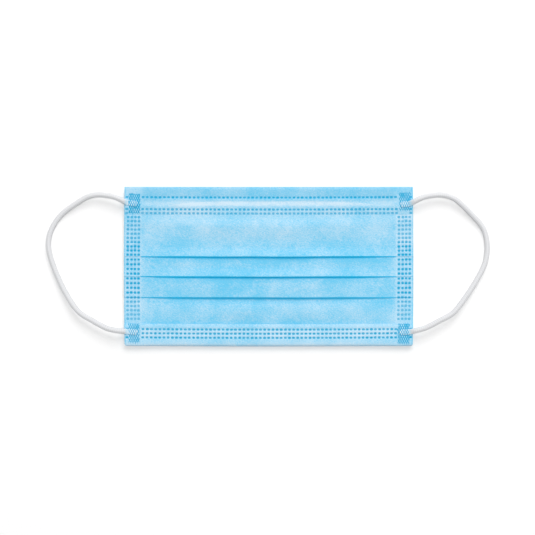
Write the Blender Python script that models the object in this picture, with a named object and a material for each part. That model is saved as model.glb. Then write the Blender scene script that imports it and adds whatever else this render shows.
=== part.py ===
"""A pleated surgical face mask lying flat with its outer face up and its nose edge towards +Y.

Metres, +Z up. The origin is on the surface that the mask lies on, below the middle of its cloth.
A drop is a distance down the cloth from the nose edge, towards -Y. A height is above the surface.
"""

import math

import bmesh
import bpy
from mathutils import Vector

MM = 0.001

# Cloth
MASK_WIDTH = 175 * MM
MASK_HEIGHT = 96.5 * MM
WALL = 1.0 * MM
SIDE_WELD = 9.7 * MM
SIDE_BOW = 0.4 * MM
MIDDLE_SAG = 0.4 * MM
PIECE_GAP = 0.3 * MM

# Hems, each one strip folded round an edge of the cloth
TOP_HEM = 16.6 * MM
BOTTOM_HEM = 13.8 * MM

# Pleats: how far apart two layers stand at the side welds and in the middle of the mask
PLEAT_GAP_SIDE = 0.2 * MM
PLEAT_GAP_MIDDLE = 0.4 * MM
CHEEK_PUFF = 1.4 * MM

# Nose strip
NOSE_LENGTH = 110 * MM
NOSE_WIDTH = 3.2 * MM
NOSE_THICKNESS = 0.8 * MM
NOSE_DROP = 10.0 * MM
NOSE_EDGE_RADIUS = 0.2 * MM
CHANNEL_RAMP = 2.0 * MM

# Ear loops
CORD_DIAMETER = 3.1 * MM
CORD_END_SHARE = 0.5
CORD_SQUEEZE = 5 * MM

# Each pleat: where its fold shows, as a share of the cloth between the hems, and how deep it tucks
PLEATS = (
    {"fold": 0.389, "depth": 0.179},
    {"fold": 0.577, "depth": 0.179},
    {"fold": 0.767, "depth": 0.179},
)

# Sections across the cloth: the place as a share of the way to the side weld, and how far it puffs
SECTIONS = (
    {"across": 0.00, "puff": 1.00},
    {"across": 0.22, "puff": 0.96},
    {"across": 0.44, "puff": 0.82},
    {"across": 0.64, "puff": 0.58},
    {"across": 0.82, "puff": 0.28},
    {"across": 1.00, "puff": 0.00},
)

# Ear loop routes in millimetres: out from the cloth's side edge, up from its middle, and lift,
# the height of the cord's underside above the surface (on the cloth it lies on the hem instead)
LEFT_ROUTE = (
    {"out": -8.3, "up": 37.9, "lift": 0.0},
    {"out": -5.6, "up": 38.2, "lift": 0.0},
    {"out": -3.0, "up": 38.7, "lift": 0.0},
    {"out": -0.5, "up": 39.4, "lift": 0.0},
    {"out": 3.3, "up": 41.2, "lift": 3.8},
    {"out": 7.9, "up": 42.7, "lift": 3.5},
    {"out": 14.5, "up": 43.5, "lift": 3.0},
    {"out": 19.0, "up": 43.1, "lift": 2.6},
    {"out": 23.0, "up": 41.8, "lift": 2.2},
    {"out": 27.6, "up": 39.1, "lift": 1.7},
    {"out": 32.2, "up": 36.1, "lift": 1.1},
    {"out": 36.1, "up": 33.2, "lift": 0.6},
    {"out": 40.0, "up": 29.2, "lift": 0.2},
    {"out": 43.0, "up": 24.5, "lift": 0.1},
    {"out": 45.0, "up": 19.6, "lift": 0.1},
    {"out": 45.7, "up": 15.1, "lift": 0.1},
    {"out": 45.5, "up": 10.5, "lift": 0.1},
    {"out": 44.3, "up": 5.2, "lift": 0.1},
    {"out": 42.3, "up": -0.7, "lift": 0.2},
    {"out": 39.7, "up": -6.9, "lift": 0.5},
    {"out": 37.1, "up": -12.5, "lift": 1.0},
    {"out": 34.2, "up": -17.8, "lift": 1.6},
    {"out": 30.9, "up": -23.0, "lift": 2.2},
    {"out": 27.6, "up": -27.0, "lift": 2.6},
    {"out": 24.3, "up": -29.6, "lift": 2.9},
    {"out": 19.7, "up": -32.2, "lift": 3.2},
    {"out": 15.1, "up": -34.8, "lift": 3.4},
    {"out": 10.5, "up": -37.1, "lift": 3.6},
    {"out": 6.6, "up": -38.2, "lift": 3.7},
    {"out": 2.7, "up": -38.8, "lift": 3.8},
    {"out": -0.6, "up": -39.0, "lift": 0.0},
    {"out": -3.0, "up": -39.3, "lift": 0.0},
    {"out": -5.6, "up": -39.5, "lift": 0.0},
    {"out": -8.4, "up": -39.6, "lift": 0.0},
)
RIGHT_ROUTE = (
    {"out": -8.0, "up": 37.6, "lift": 0.0},
    {"out": -5.6, "up": 37.7, "lift": 0.0},
    {"out": -2.9, "up": 38.0, "lift": 0.0},
    {"out": -0.3, "up": 39.0, "lift": 0.0},
    {"out": 3.0, "up": 40.8, "lift": 3.8},
    {"out": 7.3, "up": 42.4, "lift": 3.6},
    {"out": 11.9, "up": 43.2, "lift": 3.3},
    {"out": 15.8, "up": 43.4, "lift": 3.0},
    {"out": 20.4, "up": 42.8, "lift": 2.7},
    {"out": 24.7, "up": 41.1, "lift": 2.4},
    {"out": 28.2, "up": 38.5, "lift": 2.0},
    {"out": 32.2, "up": 34.8, "lift": 1.4},
    {"out": 36.1, "up": 30.8, "lift": 0.8},
    {"out": 40.1, "up": 26.5, "lift": 0.3},
    {"out": 42.7, "up": 22.5, "lift": 0.1},
    {"out": 44.2, "up": 17.7, "lift": 0.1},
    {"out": 44.8, "up": 12.5, "lift": 0.1},
    {"out": 44.5, "up": 7.2, "lift": 0.1},
    {"out": 43.3, "up": 1.9, "lift": 0.2},
    {"out": 41.0, "up": -3.3, "lift": 0.5},
    {"out": 38.1, "up": -8.5, "lift": 0.9},
    {"out": 34.8, "up": -13.8, "lift": 1.4},
    {"out": 31.2, "up": -19.0, "lift": 1.9},
    {"out": 27.6, "up": -23.9, "lift": 2.4},
    {"out": 24.0, "up": -27.9, "lift": 2.8},
    {"out": 20.4, "up": -30.3, "lift": 3.0},
    {"out": 15.8, "up": -32.6, "lift": 3.3},
    {"out": 11.2, "up": -35.1, "lift": 3.5},
    {"out": 7.3, "up": -36.9, "lift": 3.7},
    {"out": 3.4, "up": -38.1, "lift": 3.8},
    {"out": -0.3, "up": -39.0, "lift": 0.0},
    {"out": -2.9, "up": -39.4, "lift": 0.0},
    {"out": -5.6, "up": -39.6, "lift": 0.0},
    {"out": -8.6, "up": -39.7, "lift": 0.0},
)

# Where the sheet below a fold starts to climb over the next tuck, as a share of its own tuck's depth
CLIMB_SHARE = 0.8

# Facets
SHEET_STEPS = 16
RETURN_STEPS = 5
FOLD_STEPS = 6
FLAP_STEPS = 4
STRIP_STEPS = 6
CORD_STEPS = 25
CURVE_STEPS = 1000
SMOOTH_ANGLE = 40.0

# What follows from the sizes above
HALF_WIDTH = MASK_WIDTH / 2
WELD_START = HALF_WIDTH - SIDE_WELD
CLOTH_DROP = MASK_HEIGHT - MIDDLE_SAG
FREE_DROP = CLOTH_DROP - TOP_HEM - BOTTOM_HEM
LAYER = WALL + PIECE_GAP
UNDER_HEM_HEIGHT = WALL / 2 + LAYER
FLAP_HEIGHT = UNDER_HEM_HEIGHT + LAYER
FLAP_TOP = FLAP_HEIGHT + WALL / 2
HEM_REACH = LAYER + WALL / 2


def smooth(share):
    """0 at and below 0, 1 at and above 1, and an even S between them."""
    share = min(max(share, 0.0), 1.0)
    return share * share * (3 - 2 * share)


def ramp(place, start, end):
    """How far a place is on its way from start to end, as an even S."""
    return smooth((place - start) / (end - start))


def hump(place, start, end):
    """0 at start and end, 1 half-way between them, and flat at all three."""
    share = min(max((place - start) / (end - start), 0.0), 1.0)
    return math.sin(math.pi * share) ** 2


def half_width_at(drop):
    """The cloth's half width, which is widest half-way down."""
    return HALF_WIDTH - SIDE_BOW * (2 * drop / CLOTH_DROP - 1) ** 2


def on_mask(across, drop, height):
    """A point of the mask: across is -1 at its left edge and 1 at its right edge."""
    sag = MIDDLE_SAG * (1 - across**2)
    return Vector((across * half_width_at(drop), MASK_HEIGHT / 2 - drop - sag, height))


def pleats():
    """Each pleat's fold and depth as drops, from the nose edge down."""
    return [(TOP_HEM + p["fold"] * FREE_DROP, p["depth"] * FREE_DROP) for p in PLEATS]


def cloth_sections():
    """(across, puff) from the left edge to the right edge, with one more section at each edge."""
    inner = [(s["across"] * WELD_START / HALF_WIDTH, s["puff"]) for s in SECTIONS] + [(1.0, 0.0)]
    return [(-across, puff) for across, puff in reversed(inner)] + inner[1:]


def layer_step(puff):
    """How far the middles of two pleated layers are apart."""
    return WALL + PLEAT_GAP_SIDE + (PLEAT_GAP_MIDDLE - PLEAT_GAP_SIDE) * puff


def climb(drop, index):
    """How far the sheet below a fold has climbed over the tuck of the next pleat down."""
    folds = pleats()
    if not 0 <= index < len(folds) - 1:
        return 0.0
    fold, depth = folds[index]
    next_fold, next_depth = folds[index + 1]
    return ramp(drop, fold - CLIMB_SHARE * depth, next_fold - next_depth)


def sheet_height(index, drop, puff):
    """The height of the middle of visible sheet number index, 0 at the nose and one more below each fold."""
    rise = 2 * layer_step(puff)
    folds = pleats()
    height = WALL / 2 + rise * (climb(drop, index - 1) + climb(drop, index))
    if index == 0:
        end = folds[0][0] - folds[0][1]
        on_tuck = ramp(drop, TOP_HEM, end)
        height += rise * on_tuck + (UNDER_HEM_HEIGHT - WALL / 2) * (1 - on_tuck)
        height += CHEEK_PUFF * puff * hump(drop, TOP_HEM, end)
    if index == len(folds):
        start = folds[-1][0]
        end = CLOTH_DROP - BOTTOM_HEM - WALL
        height += (UNDER_HEM_HEIGHT - WALL / 2) * ramp(drop, start, end)
        height += CHEEK_PUFF * puff * hump(drop, start, end)
    return height


def spaced(start, end, steps):
    """Places from start to end, both included."""
    return [start + (end - start) * i / steps for i in range(steps + 1)]


def half_turn(drop, height, radius, side):
    """The points inside a half circle from above its centre to below it, bulging to +drop or -drop."""
    angles = [math.pi * i / FOLD_STEPS for i in range(1, FOLD_STEPS)]
    return [(drop + side * radius * math.sin(a), height + radius * math.cos(a)) for a in angles]


def cloth_line(puff):
    """The middle of the pleated cloth in one section, as (drop, height) from the nose edge down."""
    step = layer_step(puff)
    reach = (step + WALL) / 2
    start = WALL + PIECE_GAP
    line = []
    for index, (fold, depth) in enumerate(pleats()):
        front = fold - reach
        back = fold - depth + reach
        line += [(d, sheet_height(index, d, puff)) for d in spaced(start, front, SHEET_STEPS)]
        line += half_turn(front, sheet_height(index + 1, front, puff) + 1.5 * step, step / 2, 1)
        returned = [(d, sheet_height(index + 1, d, puff) + step) for d in spaced(front, back, RETURN_STEPS)]
        line += returned
        line += half_turn(back, sheet_height(index + 1, back, puff) + step / 2, step / 2, -1)
        start = back
    last = len(PLEATS)
    end = CLOTH_DROP - WALL - PIECE_GAP
    return line + [(d, sheet_height(last, d, puff)) for d in spaced(start, end, SHEET_STEPS)]


def hem_line(front_flap):
    """The middle of a hem strip in one section, from its front edge round the fold to its back edge.

    front_flap is the front flap's (drop, height) from its edge to HEM_REACH, and the back flap is as long.
    """
    length = front_flap[0][0]
    back_flap = [(d, WALL / 2) for d in spaced(HEM_REACH, length, FLAP_STEPS)]
    return front_flap + half_turn(HEM_REACH, UNDER_HEM_HEIGHT, LAYER, -1) + back_flap


def channel_flap(x):
    """The top hem's front flap at one place across, with points at the edges of the strip's channel."""
    inner = NOSE_WIDTH / 2 + PIECE_GAP
    outer = inner + CHANNEL_RAMP
    drops = [TOP_HEM] + [NOSE_DROP + offset for offset in (outer, inner, 0, -inner, -outer)] + [HEM_REACH]
    return [(d, FLAP_HEIGHT + channel_lift(x, d)) for d in drops]


def normals(line):
    """Each point's normal, lengthened so that a wall keeps its thickness round a bend."""
    found = []
    for i in range(len(line)):
        before = Vector(line[i]) - Vector(line[max(i - 1, 0)])
        after = Vector(line[min(i + 1, len(line) - 1)]) - Vector(line[i])
        sides = [Vector((-d.y, d.x)).normalized() for d in (before, after) if d.length > 0]
        middle = sum(sides, Vector((0, 0))).normalized()
        found.append(middle / middle.dot(sides[0]))
    return found


def walled(line, wall):
    """The two faces of a wall round its middle line, as pairs of (drop, height)."""
    return [
        (Vector(point) + normal * wall / 2, Vector(point) - normal * wall / 2)
        for point, normal in zip(line, normals(line), strict=True)
    ]


def new_object(name, mesh_or_curve, material):
    """An object of the part, with its material."""
    obj = bpy.data.objects.new(name, mesh_or_curve)
    bpy.context.scene.collection.objects.link(obj)
    if material:
        obj.data.materials.append(material)
    return obj


def material(name, colour, roughness, metallic=0.0):
    """A Principled BSDF material."""
    made = bpy.data.materials.new(name)
    made.use_nodes = True
    shader = made.node_tree.nodes["Principled BSDF"]
    shader.inputs["Base Color"].default_value = (*colour, 1.0)
    shader.inputs["Roughness"].default_value = roughness
    shader.inputs["Metallic"].default_value = metallic
    return made


def add_loft(bm, rings):
    """Adds a closed body through rings of points, with a flat face on the first and last ring.

    Each ring is a list of pairs, one on each face of a wall, so its end is a strip of quads.
    """
    grid = [[[bm.verts.new(p) for p in pair] for pair in ring] for ring in rings]
    last = len(grid[0]) - 1
    for a, b in zip(grid, grid[1:]):
        for i in range(last):
            bm.faces.new((a[i][0], a[i + 1][0], b[i + 1][0], b[i][0]))
            bm.faces.new((a[i][1], b[i][1], b[i + 1][1], a[i + 1][1]))
        bm.faces.new((a[0][1], a[0][0], b[0][0], b[0][1]))
        bm.faces.new((a[last][0], a[last][1], b[last][1], b[last][0]))
    for ring in (grid[0], grid[-1]):
        for i in range(last):
            bm.faces.new((ring[i][0], ring[i][1], ring[i + 1][1], ring[i + 1][0]))


def lofted(name, bodies, finish):
    """An object of one lofted body for each list of rings."""
    bm = bmesh.new()
    for rings in bodies:
        add_loft(bm, rings)
    bmesh.ops.recalc_face_normals(bm, faces=bm.faces)
    mesh = bpy.data.meshes.new(name)
    bm.to_mesh(mesh)
    bm.free()
    mesh.shade_smooth()
    mesh.set_sharp_from_angle(angle=math.radians(SMOOTH_ANGLE))
    return new_object(name, mesh, finish)


def sheet_ring(across, line, wall, drop_at=lambda drop: drop):
    """One section of a wall as pairs of points on the mask."""
    return [
        [on_mask(across, drop_at(face.x), face.y) for face in pair]
        for pair in walled(line, wall)
    ]


def weld_bar(index, side):
    """The rings of a bar that joins one pleat's three layers at one side, from mid-wall to mid-wall.

    Its top follows the middle of the pleat's top layer and its underside that of the lowest one.
    """
    inset = WALL / 2
    fold, depth = pleats()[index]
    drops = spaced(fold - depth + inset, fold - inset, SHEET_STEPS)
    edges = ((WELD_START + inset) / HALF_WIDTH, 1 - inset / HALF_WIDTH)
    return [
        [
            [on_mask(side * across, d, sheet_height(layer, d, 0.0)) for layer in (index, index + 1)]
            for d in drops
        ]
        for across in edges
    ]


def cloth(finish):
    """The pleated cloth, with its layers joined along both side welds."""
    bars = lofted("weld_bars", [weld_bar(i, side) for i in range(len(PLEATS)) for side in (-1, 1)], None)
    bars.hide_render = True
    bars.display_type = "WIRE"
    rings = [sheet_ring(across, cloth_line(puff), WALL) for across, puff in cloth_sections()]
    body = lofted("pleated_cloth", [rings], finish)
    join = body.modifiers.new("side_welds", "BOOLEAN")
    join.operation = "UNION"
    join.solver = "EXACT"
    join.object = bars
    return body


def channel_lift(x, drop):
    """How far the top hem's front flap rises over the nose strip at a place."""
    inner = NOSE_WIDTH / 2 + PIECE_GAP
    along = 1 - ramp(abs(x), NOSE_LENGTH / 2 + PIECE_GAP, NOSE_LENGTH / 2 + PIECE_GAP + CHANNEL_RAMP)
    down = 1 - ramp(abs(drop - NOSE_DROP), inner, inner + CHANNEL_RAMP)
    return (NOSE_THICKNESS + PIECE_GAP) * along * down


def top_hem_places():
    """Across places of the top hem's sections: the middle, the nose strip's ends, and the side welds."""
    end = NOSE_LENGTH / 2 + PIECE_GAP
    right = [NOSE_LENGTH / 4, end, end + CHANNEL_RAMP, WELD_START, HALF_WIDTH]
    return [-x for x in reversed(right)] + [0.0] + right


def top_hem(finish):
    """The strip folded round the nose edge, raised over the nose strip."""
    rings = [sheet_ring(x / HALF_WIDTH, hem_line(channel_flap(x)), WALL) for x in top_hem_places()]
    return lofted("top_hem", [rings], finish)


def bottom_hem(finish):
    """The strip folded round the chin edge."""
    line = hem_line([(d, FLAP_HEIGHT) for d in spaced(BOTTOM_HEM, HEM_REACH, FLAP_STEPS)])
    rings = [
        sheet_ring(across, line, WALL, lambda drop: CLOTH_DROP - drop)
        for across, _ in cloth_sections()
    ]
    return lofted("bottom_hem", [rings], finish)


def nose_strip(finish):
    """The bendable strip between the cloth and the top hem's front flap."""
    height = UNDER_HEM_HEIGHT + WALL / 2 + PIECE_GAP + NOSE_THICKNESS / 2
    edges = (NOSE_DROP - NOSE_WIDTH / 2, NOSE_DROP + NOSE_WIDTH / 2)
    line = [(drop, height) for drop in edges]
    places = spaced(-NOSE_LENGTH / 2, NOSE_LENGTH / 2, STRIP_STEPS)
    rings = [sheet_ring(x / HALF_WIDTH, line, NOSE_THICKNESS) for x in places]
    strip = lofted("nose_strip", [rings], finish)
    bevel = strip.modifiers.new("rounded_edges", "BEVEL")
    bevel.width = NOSE_EDGE_RADIUS
    bevel.segments = 2
    bevel.limit_method = "ANGLE"
    return strip


def between(points, share):
    """A point on the smooth curve through points, at a share of their count along it."""
    place = share * (len(points) - 1)
    i = min(int(place), len(points) - 2)
    t = place - i
    a, b, c, d = (points[min(max(i + k, 0), len(points) - 1)] for k in (-1, 0, 1, 2))
    return 0.5 * (2 * b + (c - a) * t + (2 * a - 5 * b + 4 * c - d) * t**2 + (3 * b - a - 3 * c + d) * t**3)


def evenly_spaced(points, steps):
    """Points one even step apart, both ends included, on the smooth curve through points."""
    fine = [between(points, i / CURVE_STEPS) for i in range(CURVE_STEPS + 1)]
    along = [0.0]
    for a, b in zip(fine, fine[1:]):
        along.append(along[-1] + (b - a).length)
    found, i = [], 0
    for k in range(steps + 1):
        goal = along[-1] * k / steps
        while i < len(fine) - 2 and along[i + 1] < goal:
            i += 1
        found.append(fine[i].lerp(fine[i + 1], (goal - along[i]) / (along[i + 1] - along[i])))
    return found


def end_taper(out):
    """The cord's radius as a share of its own: it is squeezed where it is welded to the hem."""
    return CORD_END_SHARE + (1 - CORD_END_SHARE) * ramp(out, -CORD_SQUEEZE, 0.0)


def ear_loop(name, side, route, finish):
    """One elastic cord loop, which runs from the top hem's face to the bottom hem's face."""
    points = []
    for row in route:
        out = row["out"] * MM
        radius = CORD_DIAMETER / 2 * end_taper(out)
        seat = FLAP_TOP + PIECE_GAP if out < 0 else row["lift"] * MM
        points.append(Vector((side * (HALF_WIDTH + out), row["up"] * MM, seat + radius)))
    curve = bpy.data.curves.new(name, "CURVE")
    curve.dimensions = "3D"
    curve.bevel_depth = CORD_DIAMETER / 2
    curve.bevel_resolution = 2
    curve.use_fill_caps = True
    spline = curve.splines.new("POLY")
    spline.points.add(CORD_STEPS)
    for target, place in zip(spline.points, evenly_spaced(points, CORD_STEPS), strict=True):
        target.co = (*place, 1.0)
        target.radius = end_taper(abs(place.x) - HALF_WIDTH)
    return new_object(name, curve, finish)


def main():
    """Builds the mask's pieces in an empty scene."""
    for obj in list(bpy.data.objects):
        bpy.data.objects.remove(obj, do_unlink=True)
    blue = material("blue_nonwoven", (0.30, 0.68, 0.90), 0.85)
    pale_blue = material("pale_blue_nonwoven", (0.42, 0.73, 0.90), 0.85)
    white = material("white_elastic", (0.82, 0.82, 0.83), 0.8)
    coated = material("coated_wire", (0.85, 0.85, 0.85), 0.5)
    cloth(blue)
    top_hem(pale_blue)
    bottom_hem(pale_blue)
    nose_strip(coated)
    ear_loop("ear_loop_left", -1, LEFT_ROUTE, white)
    ear_loop("ear_loop_right", 1, RIGHT_ROUTE, white)


main()
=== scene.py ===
"""The visual model of a pleated surgical face mask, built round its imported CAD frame.

Sizes in the classes are millimetres, and the meshes are metres. x runs along the mask to its
right ear loop, a drop is a distance down the cloth from the nose edge, and a height is above
the table that the mask lies on. A pair named a start, top, end or bottom is a soft slope: where
it begins and where it is over.
"""

import logging
import math
from dataclasses import dataclass, field
from enum import Enum

import bpy
import numpy as np
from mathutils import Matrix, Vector
from mathutils.geometry import tessellate_polygon


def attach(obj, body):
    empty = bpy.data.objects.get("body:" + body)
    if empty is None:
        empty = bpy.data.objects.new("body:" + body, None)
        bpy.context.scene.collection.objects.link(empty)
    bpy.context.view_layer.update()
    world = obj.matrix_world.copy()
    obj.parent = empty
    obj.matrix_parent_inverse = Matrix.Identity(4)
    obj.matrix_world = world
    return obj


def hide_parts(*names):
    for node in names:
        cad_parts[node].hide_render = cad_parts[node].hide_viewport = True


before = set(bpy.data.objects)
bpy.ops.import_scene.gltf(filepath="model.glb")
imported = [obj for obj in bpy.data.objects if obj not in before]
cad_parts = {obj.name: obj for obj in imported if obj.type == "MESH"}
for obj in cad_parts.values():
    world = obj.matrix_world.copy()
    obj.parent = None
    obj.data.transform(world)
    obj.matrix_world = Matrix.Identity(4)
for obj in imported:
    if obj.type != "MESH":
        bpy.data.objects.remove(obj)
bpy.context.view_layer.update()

MM = 0.001
BODY = "root"
log = logging.getLogger("face_mask")


class Side(Enum):
    """The side of the mask that a piece belongs to, with the sign of its x."""

    LEFT = -1
    RIGHT = 1


class Slot(Enum):
    """The record's material slots."""

    CLOTH = "nonwoven_cloth"
    HEM = "nonwoven_hem"
    STRIP = "coated_strip"
    CORD = "elastic_cord"


# Shape functions


def smooth(share: np.ndarray) -> np.ndarray:
    """0 at and below 0, 1 at and above 1, and an even S between them."""
    share = np.clip(share, 0.0, 1.0)
    return share * share * (3.0 - 2.0 * share)


def ramp(place: np.ndarray, start: float, end: float) -> np.ndarray:
    """How far a place is on its way from start to end, as an even S."""
    return smooth((place - start) / (end - start))


def bell(place: np.ndarray, centre: float, width: float) -> np.ndarray:
    """A soft bell curve, 1 at its centre and about a third one width away."""
    return np.exp(-(((place - centre) / width) ** 2))


def between(place: np.ndarray, start: float, end: float, edge: float) -> np.ndarray:
    """1 from start to end, with soft edges of the given width centred on both."""
    half = edge / 2
    return ramp(place, start - half, start + half) * (1.0 - ramp(place, end - half, end + half))


@dataclass(frozen=True)
class Band:
    """A stretch that is changed by an amount, with a soft start and a soft end."""

    amount: float
    start: tuple[float, float]
    end: tuple[float, float]

    def at(self, place: np.ndarray) -> np.ndarray:
        """All of the amount inside the band, and none of it outside."""
        return self.amount * (ramp(place, *self.start) * (1.0 - ramp(place, *self.end)))


def waves(x: np.ndarray, drop: np.ndarray, length: float, seed: int) -> np.ndarray:
    """Soft unevenness: the mean of a few straight waves in set directions, from -1 to 1 or so.

    Args:
        x: Places along the mask.
        drop: Places down the mask.
        length: The waves' mean length in millimetres.
        seed: Chooses their directions, lengths and phases.

    Returns:
        The sum of sin(k . place + phase) over the waves, divided by the root of their number.
    """
    rng = np.random.default_rng(seed)
    count = 7
    angles = rng.uniform(0.0, math.pi, count)
    numbers = 2.0 * math.pi / (length * rng.uniform(0.7, 1.5, count))
    phases = rng.uniform(0.0, 2.0 * math.pi, count)
    total = np.zeros(np.broadcast(x, drop).shape)
    for angle, number, phase in zip(angles, numbers, phases):
        total += np.sin(number * (x * math.cos(angle) + drop * math.sin(angle)) + phase)
    return total / math.sqrt(count)


def unevenness(x: np.ndarray, drop: np.ndarray, layers: tuple[tuple[float, float, int], ...]) -> np.ndarray:
    """The sum of several waves, each given by its size, mean length and seed."""
    return sum(size * waves(x, drop, length, seed) for size, length, seed in layers)


def spaced(start: float, end: float, spacing: float) -> np.ndarray:
    """Even places from start to end, both included, no further apart than the spacing."""
    steps = max(1, math.ceil(abs(end - start) / spacing - 1e-9))
    return np.linspace(start, end, steps + 1)


def mirrored(offsets: tuple[float, ...]) -> np.ndarray:
    """The offsets on both sides of 0, with 0 itself, in order."""
    right = np.array(offsets)
    return np.concatenate([-right[::-1], [0.0], right])


def merged(places: list[np.ndarray], least: float) -> np.ndarray:
    """All the places in order, without those closer than least to the one kept before them."""
    every = np.unique(np.concatenate(places))
    kept = [every[0]]
    for place in every[1:]:
        if place - kept[-1] >= least:
            kept.append(place)
    return np.array(kept)


@dataclass(frozen=True)
class MaskForm:
    """The mask's outline and how it lies, the same as in the CAD model."""

    width: float = 175.0
    height: float = 96.5
    side_bow: float = 0.4
    middle_sag: float = 0.4
    sag_start: float = 6.0
    corner: float = 1.2
    corner_fade: float = 5.0
    weld_start: float = 77.8
    weld_edge: float = 1.2
    cut_depth: float = 0.34
    cut_start: tuple[float, float] = (86.5, 87.3)

    @property
    def half(self) -> float:
        """Half the width."""
        return self.width / 2

    @property
    def length(self) -> float:
        """The drop of the chin edge."""
        return self.height - self.middle_sag

    def place(self, x: np.ndarray, drop: np.ndarray, height: np.ndarray) -> np.ndarray:
        """Points in metres, on a cloth whose sides bow out and whose middle sags a little.

        The nose edge stays straight, and the sag is whole from sag_start down. The two corners
        at the chin are rounded: the edge there rises by r - sqrt(r^2 - s^2), where s is how far
        a place has gone into the corner's radius r.

        Args:
            x: Places along the mask, from minus to plus half its width.
            drop: Drops from the nose edge.
            height: Heights above the table.

        Returns:
            An array with one more axis, of X, Y and Z.
        """
        across = x / self.half
        bowed = self.half - self.side_bow * (2.0 * drop / self.length - 1.0) ** 2
        sag = self.middle_sag * smooth(drop / self.sag_start)
        y = self.height / 2 - drop - sag * (1.0 - across**2)
        share = np.clip((np.abs(x) - self.half) / self.corner + 1.0, 0.0, 1.0)
        near_chin = smooth((drop - self.length) / self.corner_fade + 1.0)
        y = y + self.corner * (1.0 - np.sqrt(1.0 - share**2)) * near_chin
        x, y, height = np.broadcast_arrays(across * bowed, y, height)
        return np.stack([x, y, height], axis=-1) * MM

    def puff(self, x: np.ndarray) -> np.ndarray:
        """How far the layers stand apart: 0 in the side welds and 1 in the middle, as a cosine."""
        share = np.clip(np.abs(x) / self.weld_start, 0.0, 1.0)
        return np.maximum(np.cos(share * math.pi / 2), 0.0) ** 0.8

    def open(self, x: np.ndarray) -> np.ndarray:
        """1 between the side welds and 0 in them, with a short slope."""
        return 1.0 - ramp(np.abs(x), self.weld_start - self.weld_edge, self.weld_start)

    def cut_tone(self, x: np.ndarray) -> np.ndarray:
        """How much deeper the web looks where its two side edges were cut hot."""
        return self.cut_depth * ramp(np.abs(x), *self.cut_start)


FORM = MaskForm()


# Ultrasonic weld marks


def oval(u: np.ndarray, v: np.ndarray, edge: float) -> np.ndarray:
    """1 inside a rounded oblong of half size 1, 0 outside it, and soft over the edge's share."""
    reach = (np.abs(u) ** 3 + np.abs(v) ** 3) ** (1 / 3)
    return 1.0 - ramp(reach, 1.0 - edge, 1.0 + edge)


@dataclass(frozen=True)
class DashRow:
    """One row of short weld dashes along a hem, each a little unlike the next."""

    drop: float
    strength: float
    seed: int
    first: float
    pitch: float
    bow: float
    count: int = 62
    # One more dash in each side band.
    outer: tuple[float, float] = (-85.9, 86.0)
    half_length: float = 0.88
    half_width: float = 0.67
    section_offsets: tuple[float, ...] = (0.4, 0.8, 0.95, 1.06)
    # How far the dashes stray, and the least and the most of each one's share of the sizes above.
    shift_along: float = 0.06
    shift_down_share: float = 0.6
    lengths: tuple[float, float] = (0.93, 1.07)
    widths: tuple[float, float] = (0.92, 1.08)
    strengths: tuple[float, float] = (0.86, 1.0)
    edge: float = 0.17

    def centres(self) -> np.ndarray:
        """The dashes' middles, which are further apart on the left than on the right.

        Returns:
            An even row plus the bow times 1 - s^2, where s runs from -1 to 1 along the row.
        """
        number = np.arange(self.count)
        share = 2.0 * number / (self.count - 1) - 1.0
        return self.first + self.pitch * number + self.bow * (1.0 - share**2)

    def sections(self) -> np.ndarray:
        """Places across every dash, close together at its two ends."""
        return (self.centres()[:, None] + mirrored(self.section_offsets)).ravel()

    def press(self, x: np.ndarray, drop: np.ndarray) -> np.ndarray:
        """How hard each place is pressed.

        The nearest dash's place, size and strength come from tables with one entry a dash.

        Args:
            x: Places along the mask.
            drop: Places down the mask.

        Returns:
            0 between the dashes, and up to the row's strength on them.
        """
        rng = np.random.default_rng(self.seed)
        centres = np.concatenate([[self.outer[0]], self.centres(), [self.outer[1]]])
        shift = rng.uniform(-self.shift_along, self.shift_along, (2, centres.size))
        length = self.half_length * rng.uniform(*self.lengths, centres.size)
        width = self.half_width * rng.uniform(*self.widths, centres.size)
        strength = self.strength * rng.uniform(*self.strengths, centres.size)
        index = np.searchsorted((centres[1:] + centres[:-1]) / 2, x)
        u = (x - centres[index] - shift[0][index]) / length[index]
        v = (drop - self.drop - shift[1][index] * self.shift_down_share) / width[index]
        return oval(u, v, self.edge) * strength[index]


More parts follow.
